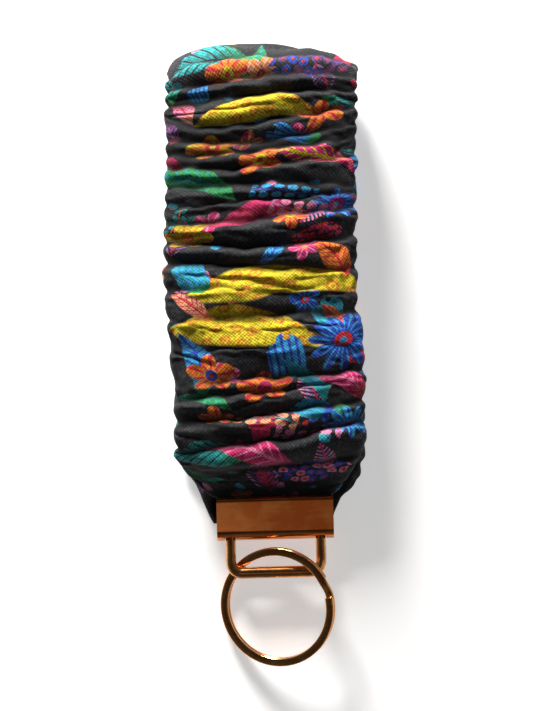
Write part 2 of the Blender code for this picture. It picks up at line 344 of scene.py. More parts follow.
def round_cells(x, y, size):
    """Distance from a jittered dot in each cell of a brick grid, 1 is a cell, and a random pick."""
    row = (y / size).floor()
    along = x / size + row * 0.5
    column = along.floor()
    pick = hashed(column, row, 0.7)
    dx = along - column - 0.5 + (pick - 0.5) * 0.25
    dy = y / size - row - 0.5 - (pick - 0.5) * 0.3
    return (dx * dx + dy * dy) ** 0.5, pick


def motif_group(name, draw):
    """A node group that lays one motif over the colour below it. draw makes its colours."""
    group = bpy.data.node_groups.new(name, "ShaderNodeTree")
    for label, kind in GROUP_INPUTS:
        group.interface.new_socket(label, in_out="INPUT", socket_type=kind)
    group.interface.new_socket("Colour", in_out="OUTPUT", socket_type="NodeSocketColor")
    entry = group.nodes.new("NodeGroupInput")
    wires = {label: Wire(group, entry.outputs[label]) for label, _ in GROUP_INPUTS}
    offset = vector_math("SUBTRACT", wires["Point"], wires["Centre"])
    spin = {"rotation_type": "Z_AXIS"}
    angle = -wires["Turn"]
    turned = wire_from(group, "ShaderNodeVectorRotate", "Vector", spin, Vector=offset, Angle=angle)
    local = vector_math("SCALE", turned, scale=wires["Size"] ** -1.0)
    x, y, _ = split_vector(local)
    colour = draw(x, y, wires)
    leave = group.nodes.new("NodeGroupOutput")
    plug(colour, leave.inputs["Colour"])
    return group


def draw_leaf(x, y, wires):
    """A pointed leaf along x with a midrib and slanting veins. Shape is its half width."""
    bent = (y + x * x * 0.22).abs()
    edge = (1.0 - x * x) * wires["Shape"] - bent
    veins = (x * 4.5 - bent * 5.0).fract().under(0.22)
    lines = veins.max(bent.under(0.035))
    inner = mix_colour(lines, wires["Body"], wires["Marks"])
    inner = mix_colour((x * -1.4 - 0.2).clamped(), inner, wires["Heart"])
    return mix_colour(edge.soft(30.0), wires["Below"], inner)


def draw_bud(x, y, wires):
    """A rounded bud along x with stripes that run its length, and a darker base."""
    edge = (1.0 - x * x * x * x) * wires["Shape"] - y.abs()
    stripes = (y / wires["Shape"] * 2.6 + 0.5).fract().under(0.4)
    inner = mix_colour(stripes, wires["Body"], wires["Marks"])
    inner = mix_colour((x * -5.0 - 2.4).clamped(), inner, wires["Heart"])
    scallop = x.over(0.72) * (y * 14.0).sin().over(0.1)
    edge = edge * (1.0 - scallop) - scallop * 0.2
    return mix_colour(edge.soft(30.0), wires["Below"], inner)


def draw_flower(x, y, wires):
    """A flower of Shape petals with a round heart and fine lines along its petals."""
    reach = (x * x + y * y) ** 0.5
    angle = y.atan2(x)
    petals = (angle * wires["Shape"] * 0.5).cos().abs()
    edge = petals * 0.45 + 0.5 - reach
    lines = (angle * wires["Shape"] * 2.0).sin().over(0.55) * reach.over(0.3)
    inner = mix_colour(lines, wires["Body"], wires["Marks"])
    inner = mix_colour(reach.under(0.24), inner, wires["Heart"])
    inner = mix_colour(reach.under(0.1), inner, wires["Marks"])
    return mix_colour(edge.soft(24.0), wires["Below"], inner)


def draw_spotted(x, y, wires):
    """A long curved body that tapers to a tail, with ring spots. Shape is its half width."""
    bent = y + x * x * 0.3
    taper = (1.0 - x * x).max(0.0) * (x * 0.45 + 0.75) * wires["Shape"]
    edge = taper - bent.abs() - x.abs().over(1.0)
    spot, pick = round_cells(x, bent, 0.2)
    rings = (spot - 0.26).abs().under(0.08).max(spot.under(0.1)) * pick.over(0.2)
    inner = mix_colour(rings, wires["Body"], wires["Marks"])
    return mix_colour(edge.soft(30.0), wires["Below"], inner)


def draw_frond(x, y, wires):
    """A feathery frond: a spine along x with many thin leaflets. Shape is its half width."""
    side = y.abs()
    inside = (1.0 - x * x) * wires["Shape"] - side
    leaflets = (x * 5.5 - side * 4.0).fract().under(0.5) * inside.over(0.0)
    tips = (inside - 0.1).under(0.0) * leaflets
    inner = mix_colour(tips, wires["Body"], wires["Marks"])
    lower = mix_colour(leaflets, wires["Below"], inner)
    spine = side.under(0.035) * (1.0 - x.abs()).over(0.0)
    return mix_colour(spine, lower, wires["Heart"])


def draw_cluster(x, y, wires):
    """A heap of small round florets with dark hearts. Shape is its half width."""
    away, pick = round_cells(x, y, 0.26)
    inside = (1.0 - x * x) * wires["Shape"] - y.abs()
    petal = away.under(0.45) * inside.over(0.0)
    inner = mix_colour(pick.over(0.6), wires["Body"], wires["Marks"])
    inner = mix_colour(away.under(0.16), inner, wires["Heart"])
    return mix_colour(petal, wires["Below"], inner)


def draw_sprig(x, y, wires):
    """A stem along x with pairs of small oval leaves. Shape is the leaves' reach."""
    stem = (y + (x * 3.0).sin() * 0.06).abs()
    along = (x * 2.6).fract() - 0.5
    across = (stem - wires["Shape"] * 0.5) / wires["Shape"]
    leaf = (along * along * 5.0 + across * across * 5.5).under(0.72)
    inside = (1.0 - x.abs()).over(0.0)
    inner = mix_colour((along.abs() - 0.02).under(0.0), wires["Body"], wires["Marks"])
    lower = mix_colour(leaf * inside, wires["Below"], inner)
    return mix_colour(stem.under(0.025) * inside, lower, wires["Heart"])


def motif_groups():
    draws = {
        "leaf": draw_leaf,
        "bud": draw_bud,
        "flower": draw_flower,
        "spotted": draw_spotted,
        "frond": draw_frond,
        "cluster": draw_cluster,
        "sprig": draw_sprig,
    }
    return {name: motif_group(f"print_{name}", draw) for name, draw in draws.items()}


def lay_motif(group, point, below, centre, turn, size, shape, colours):
    node = point.tree.nodes.new("ShaderNodeGroup")
    node.node_tree = group
    body, marks, heart = colours
    values = (point, centre, turn, size, shape, body, marks, heart, below)
    for (label, _), value in zip(GROUP_INPUTS, values):
        plug(value, node.inputs[label])
    return Wire(point.tree, node.outputs["Colour"])


def scattered(point, below, group, cell, size, shape, salt, palettes, chance):
    """Motifs on a jittered grid, each with its own turn, size and colours."""
    shift_x, shift_y = salt * 0.37, salt * 0.61
    grid = vector_math("SCALE", point, scale=1.0 / cell)
    home = vector_math("FLOOR", vector_math("ADD", grid, (shift_x, shift_y, 0.0)))
    column, row, _ = split_vector(home)
    first, second, third, extra = (hashed(column, row, salt + step) for step in (0.0, 1.3, 2.9, 4.1))
    jitter = join_vector(first * 0.4 + 0.3 - shift_x, second * 0.4 + 0.3 - shift_y)
    centre = vector_math("SCALE", vector_math("ADD", home, jitter), scale=cell)
    colours = []
    for index in range(3):
        ramp = add_node(point.tree, "ShaderNodeValToRGB", Fac=(third * 7.0 + extra * 5.0).fract())
        ramp.color_ramp.interpolation = "CONSTANT"
        marks = ramp.color_ramp.elements
        while len(marks) < len(palettes):
            marks.new(0.5)
        for step, palette in enumerate(palettes):
            marks[step].position = step / len(palettes)
            marks[step].color = palette[index]
        colours.append(Wire(point.tree, ramp.outputs["Color"]))
    present = extra.under(chance)
    scale = (first * 0.35 + 0.75) * size * present + 0.001
    turn = third * FULL_TURN
    return lay_motif(group, point, below, centre, turn, scale, shape, colours)


FILLER_LEAVES = (
    (TEAL, BLACK, GREEN),
    (GREEN, TEAL, GREEN),
    (MAGENTA, RED, PURPLE),
    (ORANGE, RED, RED),
    (SKY, BLUE, BLUE),
    (PURPLE, LILAC, RED),
)
FILLER_FLOWERS = (
    (ORANGE, RED, YELLOW),
    (BLUE, SKY, RED),
    (PINK, MAGENTA, YELLOW),
    (SKY, BLUE, ORANGE),
    (YELLOW, ORANGE, RED),
    (MAGENTA, PINK, ORANGE),
)
FILLER_BERRIES = (
    (TEAL, SKY, ORANGE),
    (PEACH, ORANGE, RED),
    (PINK, LILAC, PINK),
    (RED, MAGENTA, BLACK),
    (SKY, TEAL, BLUE),
)
FILLER_FRONDS = (
    (PURPLE, LILAC, RED),
    (GREEN, TEAL, TEAL),
    (LILAC, PINK, MAGENTA),
)

# Small motifs on a grid: (kind, cell in mm, size, shape, salt, palettes, share of cells filled).
FILLERS = (
    ("frond", 34, 8, 0.45, 3, FILLER_FRONDS, 0.45),
    ("leaf", 23, 7.5, 0.32, 1, FILLER_LEAVES, 0.5),
    ("flower", 21, 5, 5, 2, FILLER_FLOWERS, 0.5),
    ("bud", 12, 1.6, 0.95, 4, FILLER_BERRIES, 0.4),
    ("sprig", 29, 7, 0.32, 5, FILLER_BERRIES, 0.45),
)

# Hero motifs: (kind, x and y in mm on the strap's upper side, turn in degrees, size, shape, colours).
# Size is half the motif's length in mm of cloth.
HEROES = (
    ("spotted", 6, 20.5, 5, 28, 0.3, (YELLOW, OCHRE, OCHRE)),
    ("spotted", -4, 8, 16, 22, 0.42, (YELLOW, OCHRE, OCHRE)),
    ("spotted", 2, 66.5, 12, 20, 0.3, (YELLOW, OCHRE, OCHRE)),
    ("leaf", -14, 78.5, 10, 13, 0.4, (TEAL, BLACK, GREEN)),
    ("flower", -9, 74, 20, 6.5, 5, (ORANGE, RED, YELLOW)),
    ("flower", -1, 74.5, 50, 5, 5, (PEACH, ORANGE, RED)),
    ("cluster", 12, 76, 5, 11, 0.55, (BLUE, PURPLE, RED)),
    ("bud", -17, 69.5, 80, 5, 0.55, (SKY, BLUE, TEAL)),
    ("leaf", -21, 65, 60, 7, 0.35, (PINK, RED, PEACH)),
    ("bud", 7, 58, 25, 8, 0.45, (SKY, BLUE, GREEN)),
    ("flower", 15, 63.5, 10, 7, 5, (ORANGE, RED, RED)),
    ("flower", -14, 55.5, 10, 8, 5, (ORANGE, YELLOW, RED)),
    ("flower", -4.5, 56, 10, 5, 4, (MAGENTA, YELLOW, YELLOW)),
    ("flower", -2, 52, 40, 7, 4, (ORANGE, RED, YELLOW)),
    ("leaf", -19.5, 46.5, 30, 15, 0.3, (GREEN, TEAL, GREEN)),
    ("leaf", 14, 52, 25, 13, 0.25, (MAGENTA, YELLOW, MAGENTA)),
    ("sprig", 4.5, 43.5, 15, 9, 0.3, (SKY, TEAL, BLUE)),
    ("flower", 18, 40, 10, 8, 9, (BLUE, SKY, MAGENTA)),
    ("leaf", -5, 37, -12, 11, 0.35, (MAGENTA, RED, MAGENTA)),
    ("sprig", 9, 38, 20, 9, 0.34, (PINK, PINK, LILAC)),
    ("flower", -21, 32, 10, 7.5, 6, (YELLOW, ORANGE, ORANGE)),
    ("cluster", 13, 31, 0, 7, 0.5, (RED, MAGENTA, MAGENTA)),
    ("leaf", 18.5, 25, 60, 9, 0.4, (ORANGE, RED, RED)),
    ("bud", -21, 22, 70, 8, 0.5, (SKY, TEAL, GREEN)),
    ("leaf", -20, 13, 50, 8, 0.3, (PEACH, RED, ORANGE)),
    ("bud", 14.5, 10.5, 80, 6, 0.7, (TEAL, SKY, BLUE)),
    ("leaf", 18, 10, 70, 8, 0.3, (ORANGE, RED, MAGENTA)),
    ("leaf", -19, -1.5, 80, 13, 0.3, (SKY, BLUE, GREEN)),
    ("flower", -16, -5, 15, 7, 5, (ORANGE, RED, BLUE)),
    ("bud", 4.5, -0.5, 85, 8, 0.6, (SKY, BLUE, TEAL)),
    ("flower", 19, 4, 10, 10, 11, (BLUE, SKY, RED)),
    ("leaf", 10.5, -6, 60, 11, 0.25, (TEAL, SKY, TEAL)),
    ("flower", -2, -9, 15, 8, 5, (ORANGE, RED, MAGENTA)),
    ("leaf", -18, -11.5, 20, 9, 0.32, (GREEN, TEAL, GREEN)),
    ("leaf", 20, -6.5, 40, 9, 0.4, (MAGENTA, PINK, RED)),
    ("bud", 10, -14.5, 20, 6, 0.8, (SKY, TEAL, BLUE)),
    ("sprig", -4, -17, 15, 10, 0.3, (PEACH, ORANGE, TEAL)),
    ("flower", 20, -18.5, 10, 8, 11, (SKY, BLUE, MAGENTA)),
    ("leaf", -17, -25, -5, 13, 0.45, (TEAL, BLACK, GREEN)),
    ("leaf", -5, -25.5, 25, 14, 0.28, (MAGENTA, PINK, MAGENTA)),
    ("sprig", 9, -21.5, 15, 9, 0.36, (PINK, LILAC, PINK)),
    ("cluster", 10, -31, -5, 12, 0.5, (BLUE, PINK, RED)),
    ("frond", -3.5, -31, 80, 10, 0.45, (PURPLE, LILAC, RED)),
)


def make_cotton(cloth_point, width, repeat_length):
    """Black plain-weave cotton with the printed motifs. cloth_point finds a place on the cloth.

    The print repeats along the cloth, and mirrors from the strap's outer face to its inner face.
    """
    material, tree, shader = new_material("printed_cotton")
    point = wire_from(tree, "ShaderNodeUVMap", "UV", {"uv_map": CLOTH_MAP})
    across, along, _ = split_vector(point)
    repeat = join_vector(across.ping_pong(width / 2), along.wrap(repeat_length))
    groups = motif_groups()
    colour = BLACK
    for kind, cell, size, shape, salt, palettes, chance in FILLERS:
        colour = scattered(point, colour, groups[kind], cell, size, shape, salt, palettes, chance)
    for kind, x, y, turn, size, shape, colours in HEROES:
        centre = (*cloth_point(x * MM, y * MM), 0.0)
        turned = math.radians(turn)
        colour = lay_motif(groups[kind], repeat, colour, centre, turned, size, shape, colours)
    finish_weave(shader, point, colour)
    return material


def finish_weave(shader, point, colour):
    """Threads over and under, pale flecks, painted shade in the creases, and the soft sheen of cotton.
    """
    u, v, _ = split_vector(point)
    turn = 2.0 * math.pi / THREAD_PITCH
    weave = (u * turn).sin() * (v * turn).sin()
    fleck = noise(point, 1.0)
    shade = noise(point, 0.12)
    raised = wire_from(point.tree, "ShaderNodeAttribute", "Fac", {"attribute_name": RAISED})
    # Painted shade: the print and the lint are darkened towards the bottom of each valley, as the raised
    # attribute says.
    painted_valley_shade = ((raised - 0.1) * 1.5).clamped() * (1.0 - CREASE_SHADE) + CREASE_SHADE
    lightness = (weave * 0.4 + fleck * 1.8 + shade * 0.5 - 0.3).max(0.05) * painted_valley_shade
    printed = vector_math("SCALE", colour, scale=lightness)
    lint = ((fleck - 0.5) * 7.0 + weave * 0.7).clamped() * painted_valley_shade * 0.05
    final = mix_colour(lint, printed, (0.4, 0.4, 0.44, 1.0))
    set_inputs(shader, Base_Color=final, Roughness=fleck * 0.2 + 0.68)
    set_inputs(shader, Sheen_Weight=0.1, Sheen_Roughness=0.5, Specular_IOR_Level=0.25)
    finish_surface(shader, weave * 0.7 + fleck * 0.9, 0.6, 0.12 * MM)


# --- gathered sleeve ---

LAYER_HALF_THICK = 4.1 * MM
LAYER_GAP = 0.25 * MM
CRIMPED_HALF_THICK = 1.1 * MM
WIDEN_FROM_Y = CLAMP_HIGH[1] + 0.2 * MM
WIDEN_TO_Y = WIDEN_FROM_Y + 16.2 * MM
FOLD_RADIUS = SLEEVE_HIGH[2] / 2 - LAYER_HALF_THICK
FOLD_Y = SLEEVE_HIGH[1] - LAYER_HALF_THICK - FOLD_RADIUS
MOUTH_Y = CLAMP_HIGH[1]
# The cloth puffs up freely past the clamp, and drops back near the fold's end.
FREE_FROM_Y = MOUTH_Y - 0.5 * MM
FREE_TO_Y = MOUTH_Y + 5 * MM
DROP_FROM_Y = 60 * MM
DROP_TO_Y = 85 * MM
UPPER_STEP = 0.8 * MM
LOWER_STEP = 1.1 * MM
ROUND_POINTS = 84
CLOTH_THICK = 0.35 * MM
HALF_WIDTH = 25.0 * MM
# Exponents of the tube's section: 2 is an ellipse, and more is squarer.
PUFF_SQUARENESS = 2.6
CRIMPED_SQUARENESS = 6.0

# Blender's cloth has least distances of about a millimetre, so it runs on a larger copy.
CLOTH_SCALE = 20.0
CLOTH_FRAMES = 8
# The cloth is cut this much longer than it lies, points this low in a valley are held, and no
# point moves further than this.
CLOTH_SPARE = 1.25
HELD_BELOW = 0.3
CLOTH_MOST_MOVE = 2.0 * MM

CLOTH_SETTINGS = {
    "quality": 6,
    "mass": 0.3,
    "air_damping": 5.0,
    "tension_stiffness": 40.0,
    "compression_stiffness": 40.0,
    "shear_stiffness": 10.0,
    "bending_stiffness": 1.0,
    "tension_damping": 15.0,
    "compression_damping": 15.0,
    "vertex_group_mass": "held",
}
TOUCH_SETTINGS = {
    "collision_quality": 3,
    "distance_min": 0.2 * MM * CLOTH_SCALE,
    "use_self_collision": True,
    "self_distance_min": 0.45 * MM * CLOTH_SCALE,
    "self_friction": 5.0,
}

VALLEY_HALF_THICK = 1.0 * MM
CREST_HALF_THICK = 4.5 * MM
# Reach of the puffs' crests to the left and right of the strap's middle, in mm, for each y in mm.
# The layer below bulges out beside the clamp.
WIDTH_Y = (-47, -44, -39, -37.4, -34, -30, -26, 90)
UPPER_LEFT = (15.2, 15.2, 15.2, 18.6, 22.0, 25.2, 26.4, 26.3)
UPPER_RIGHT = (15.2, 15.2, 15.2, 18.0, 21.2, 24.6, 26.8, 26.7)
LOWER_LEFT = (16.2, 17.8, 19.8, 20.8, 23.0, 25.6, 26.4, 26.3)
LOWER_RIGHT = (15.4, 16.0, 18.4, 22.0, 25.4, 26.6, 26.8, 26.7)
VALLEY_NARROWER = (0.0, 0.0, 0.0, 0.8, 1.6, 2.2, 2.4, 2.4)
# How far the sleeve's middle has slid sideways on the elastic.
SLID_Y = (-40, -26, -5, 11, 23, 35, 45, 60, 75, 85)
SLID_X = (0.0, -1.2, -0.6, -2.2, -2.5, -2.3, -1.7, -1.4, -0.8, -0.3)
# How far the fold's middle and its corners stay back from the straight strap's end.
TOP_DROP = 1.3 * MM
CORNER_DROP = 3.6 * MM
# The print starts again this many mm of cloth past the fold.
REPEAT_PAST_FOLD = 14.0
# Cloth swallowed by a valley of full depth.
HIDDEN_CLOTH = 3.6 * MM
# Short creases: how many, ranges of their reach and depth, their slant, and the seed's step.
BRANCHES = (90, (0.2, 0.5), (0.25, 0.6), 0.3, 2)
RIPPLES = (260, (0.08, 0.35), (-0.06, 0.2), 0.4, 3)

# Puffs on the outer faces rise this many mm more, and lean over along the strap by this much.
CREST_SWELL = 0.4
PUFF_LEAN = 1.1 * MM
# Widths of a valley's steep side, its gentle side and the tail of that one.
STEEP_WIDTH = 1.1 * MM
GENTLE_WIDTH = 1.5 * MM
TAIL_WIDTH = 4.5 * MM

# Valleys between the puffs of the upper side: y in mm at the left edge, the middle and the right
# edge, then how deep each is there, from 0 to 1.
VALLEYS = (
    (-36.6, -35.4, -34.8, 1, 1, 1),
    (-32, -27, -24.6, 0.8, 1, 0.8),
    (-21.6, -19.4, -14.8, 1, 0.9, 0.9),
    (-14.2, -12.4, -9.4, 1, 1, 1),
    (-8.6, -6, -4, 1, 0.7, 0),
    (-4.5, -2.5, -1.6, 0.6, 0.9, 1),
    (6.6, 5, 6, 0.8, 0.15, 0.3),
    (13, 14, 14.4, 0.5, 0.9, 1),
    (20.5, 21.5, 19.5, 0.7, 0.2, 0.35),
    (28.4, 27.2, 25.6, 1, 0.9, 0.7),
    (33.6, 32.6, 34.4, 1, 1, 1),
    (38.4, 39.4, 42, 0.9, 0.9, 0.9),
    (43, 44, 45.8, 0.7, 0.5, 0.7),
    (47.8, 49, 47.6, 0.9, 0.9, 0.8),
    (53, 53.2, 56, 1, 0.8, 0.8),
    (56.8, 57.4, 60.4, 0.9, 0.8, 0.7),
    (60.2, 60.2, 64, 0.9, 1, 0.5),
    (64, 65, 69.4, 0.7, 0.8, 0.8),
    (70.6, 72.6, 74.8, 1, 1, 1),
    (75.6, 77.4, 79, 1, 0.9, 0.7),
)


def ease(start, end, value):
    share = np.clip((value - start) / (end - start), 0.0, 1.0)
    return share * share * (3.0 - 2.0 * share)


def mix(first, second, share):
    return first + (second - first) * share


def layer_half_thick(y):
    return mix(CRIMPED_HALF_THICK, LAYER_HALF_THICK, ease(WIDEN_FROM_Y, WIDEN_TO_Y, y))


def lower_centre_z(y):
    crimped = CLAMP_HIGH[2] / 2 - LAYER_GAP / 2 - CRIMPED_HALF_THICK
    return mix(crimped, LAYER_HALF_THICK, ease(WIDEN_FROM_Y, WIDEN_TO_Y, y))


def upper_centre_z(y):
    share = np.clip((y - MOUTH_Y) / (FOLD_Y - MOUTH_Y), 0.0, 1.0)
    fold_gap = 2 * (FOLD_RADIUS - LAYER_HALF_THICK)
    gap = mix(LAYER_GAP, fold_gap, 1.0 - (1.0 - share) ** 2)
    return lower_centre_z(y) + 2 * layer_half_thick(y) + gap


def strap_line():
    """(distance, y, z) of points from the upper end, round the fold, to the lower end."""
    run = np.linspace(SLEEVE_LOW[1], FOLD_Y, 400)
    turn = np.linspace(0.0, math.pi, 120)[1:-1]
    fold_z = LAYER_HALF_THICK + FOLD_RADIUS
    y = np.concatenate([run, FOLD_Y + FOLD_RADIUS * np.sin(turn), run[::-1]])
    z = np.concatenate(
        [upper_centre_z(run), fold_z + FOLD_RADIUS * np.cos(turn), lower_centre_z(run[::-1])]
    )
    distance = np.concatenate([[0.0], np.cumsum(np.hypot(np.diff(y), np.diff(z)))])
    fold_end = distance[-1] / 2
    upper = np.arange(0.0, fold_end, UPPER_STEP)
    lower = np.linspace(fold_end, distance[-1], int((distance[-1] - fold_end) / LOWER_STEP))
    places = np.concatenate([upper, lower])
    return places, np.interp(places, distance, y), np.interp(places, distance, z)


def round_section(squareness):
    """Unit points (x, n) evenly spaced round a superellipse as wide as the strap is."""
    angle = np.linspace(0.0, 2.0 * math.pi, 4001)
    across, through = np.cos(angle), np.sin(angle)
    x = np.sign(across) * np.abs(across) ** (2.0 / squareness)
    n = np.sign(through) * np.abs(through) ** (2.0 / squareness)
    steps = np.hypot(np.diff(x) * HALF_WIDTH, np.diff(n) * CREST_HALF_THICK)
    length = np.concatenate([[0.0], np.cumsum(steps)])
    even = np.linspace(0.0, length[-1], ROUND_POINTS, endpoint=False)
    return np.interp(even, length, x), np.interp(even, length, n), length[-1]


def wobble(places, reach, waves, source):
    """A smooth random curve over places, made of a few sines."""
    total = np.zeros_like(places)
    for wave in waves:
        size, phase = source.uniform(0.4, 1.0), source.uniform(0.0, 2.0 * math.pi)
        total += size * np.sin(places * wave + phase) / len(waves)
    return total * reach


def valley_rows(strap_length):
    """All valleys round the strap as rows (left, middle, right, depths) in metres of strap."""
    rows = []
    for left, middle, right, *depths in VALLEYS:
        places = [y * MM - SLEEVE_LOW[1] for y in (left, middle, right)]
        rows.append((*places, *depths))
    place = rows[-1][1] + 4.5 * MM
    while place < strap_length - 9 * MM:
        tilt = rng.uniform(-2.5, 2.5) * MM
        bow = rng.uniform(-1.0, 1.0) * MM
        depths = rng.uniform(0.6, 1.0, 3)
        rows.append((place - tilt, place + bow, place + tilt, *depths))
        place += rng.uniform(4.5, 10.0) * MM
    return rows


def notch(offset):
    """How much a valley takes away, by distance past it. The side before it is the steep one."""
    steep = np.exp(-((np.abs(offset) / STEEP_WIDTH) ** 1.7))
    gentle = 0.55 * np.exp(-((np.abs(offset) / GENTLE_WIDTH) ** 1.5))
    gentle = gentle + 0.45 * np.exp(-np.abs(offset) / TAIL_WIDTH)
    return np.where(offset < 0.0, steep, gentle)


def puff_height(distance, side, inner):
    """0 in the valleys to 1 on the puffs, and the cloth hidden in the valleys up to each point.

    side is -1 to 1 across the strap, and inner is 1 on the face towards the elastic's other run.
    """
    source = np.random.default_rng(SEED + 1)
    height = np.ones_like(distance)
    hidden = np.zeros_like(distance)
    for left, middle, right, deep_left, deep_middle, deep_right in valley_rows(distance.max()):
        bow = middle - (left + right) / 2
        line = mix(left, right, (side + 1) / 2) + bow * (1 - side * side) * (1 - 2 * inner)
        line = line + wobble(side * 2.4 + inner * 3.0, 1.3 * MM, (1.0, 2.3, 4.7, 8.0), source)
        deep = mix(deep_left, deep_right, (side + 1) / 2)
        deep = deep + (deep_middle - (deep_left + deep_right) / 2) * (1 - side * side)
        deep = np.clip(deep + wobble(side * 3.0, 0.2, (1.0, 3.1), source), 0.0, 1.0)
        height *= 1.0 - deep * notch(distance - line)
        swallowed = HIDDEN_CLOTH * source.uniform(0.5, 1.3) * deep
        hidden += swallowed * ease(-0.9 * MM, 0.7 * MM, distance - line)
    return height, hidden


def creases(distance, side, inner, count, reaches, depths, slope, salt):
    """Short creases across the strap that fade at both ends, as shares of the puffs' height."""
    source = np.random.default_rng(SEED + salt)
    total = np.zeros_like(distance)
    for _ in range(count):
        place = source.uniform(0.0, distance.max())
        middle = source.uniform(-1.1, 1.1)
        reach = source.uniform(*reaches)
        lean = source.uniform(-slope, slope)
        depth = source.uniform(*depths)
        width = source.uniform(0.7, 1.5) * MM
        face = source.integers(0, 2)
        across = side - middle
        bend = 1.2 * MM * np.sin(across * 5.0 + place * 900.0)
        line = place + lean * across * HALF_WIDTH + bend
        along = np.exp(-(((distance - line) / width) ** 2))
        total += depth * along * np.exp(-((across / reach) ** 2)) * (np.abs(inner - face) < 0.6)
    return total


def sleeve_points():
    """Points [along, round, xyz] of the cloth, how raised each is, its hidden cloth, its width."""
    distance, y, z = strap_line()
    count = len(distance)
    unit_x, unit_n, around = round_section(PUFF_SQUARENESS)
    tight_x, tight_n, _ = round_section(CRIMPED_SQUARENESS)
    step_y, step_z = np.gradient(y, distance), np.gradient(z, distance)
    length = np.hypot(step_y, step_z)
    tangent = np.stack([step_y / length, step_z / length], axis=1)
    outward = np.stack([-tangent[:, 1], tangent[:, 0]], axis=1)
    grid_distance = np.repeat(distance[:, None], ROUND_POINTS, axis=1)
    side = np.repeat(unit_x[None, :], count, axis=0)
    inner = np.repeat((0.5 - 0.5 * np.tanh(unit_n * 3.0))[None, :], count, axis=0)
    height, hidden = puff_height(grid_distance, side, inner)
    short = sum(creases(grid_distance, side, inner, *kind) for kind in (BRANCHES, RIPPLES))
    height *= 1.0 - np.clip(short, -0.1, 0.85)
    free = ease(FREE_FROM_Y, FREE_TO_Y, y)[:, None]
    height = np.clip(mix(0.0, height, free), 0.0, 1.1)

    upper = np.arange(count) < np.argmax(y)
    left, right = (
        np.where(upper, np.interp(y / MM, WIDTH_Y, above), np.interp(y / MM, WIDTH_Y, below))
        for above, below in ((UPPER_LEFT, LOWER_LEFT), (UPPER_RIGHT, LOWER_RIGHT))
    )
    crest_width = np.where(side < 0.0, left[:, None], right[:, None]) * MM
    valley_width = crest_width - np.interp(y / MM, WIDTH_Y, VALLEY_NARROWER)[:, None] * MM
    crest_thick = layer_half_thick(y)[:, None] + mix(CREST_SWELL, 0.0, inner) * MM * free
    valley_thick = np.minimum(crest_thick, VALLEY_HALF_THICK)
    section_x = mix(tight_x[None, :], unit_x[None, :], free)
    section_n = mix(tight_n[None, :], unit_n[None, :], free)
    x = mix(valley_width, crest_width, height) * section_x
    n = mix(valley_thick, crest_thick, height) * section_n
    lean = PUFF_LEAN * (height - 0.5) * free * mix(1.0, 0.3, inner)
    points = np.empty((count, ROUND_POINTS, 3))
    points[..., 0] = x + np.interp(y / MM, SLID_Y, SLID_X)[:, None] * MM
    points[..., 1] = y[:, None] + n * outward[:, None, 0] + lean * tangent[:, None, 0]
    drop = TOP_DROP + CORNER_DROP * np.abs(side) ** 4
    points[..., 1] -= drop * ease(DROP_FROM_Y, DROP_TO_Y, y)[:, None]
    points[..., 2] = z[:, None] + n * outward[:, None, 1] + lean * tangent[:, None, 1]
    points[..., 2] = np.maximum(points[..., 2], 0.15 * MM)
    return points, height, hidden, around


def cloth_map(points, hidden, around):
    """(round, along) in mm of flat cloth at each point. The last column closes the seam."""
    steps = np.linalg.norm(np.diff(points, axis=0), axis=2).mean(axis=1)
    along = np.concatenate([[0.0], np.cumsum(steps)])[:, None] + hidden
    along = np.concatenate([along, along[:, :1]], axis=1)
    u = np.linspace(0.0, around, ROUND_POINTS + 1)
    return np.stack([np.broadcast_to(u, along.shape), along], axis=2) / MM


def skin_quads(along):
    """Quads of one skin as (row, column) corners. The column past the last is the first one."""
    return [
        ((i, j), (i, j + 1), (i + 1, j + 1), (i + 1, j))
        for i in range(along - 1)
        for j in range(ROUND_POINTS)
    ]


def vertex(row, column):
    return row * ROUND_POINTS + column % ROUND_POINTS


def link_mesh(name, points, faces):
    mesh = bpy.data.meshes.new(name)
    mesh.from_pydata(points.reshape(-1, 3).tolist(), [], faces)
    return add_object(name, mesh)


def collider(name, points, faces, thickness):
    piece = link_mesh(name, points * CLOTH_SCALE, faces)
    piece.modifiers.new("collision", "COLLISION")
    piece.collision.thickness_outer = thickness * CLOTH_SCALE
    return piece


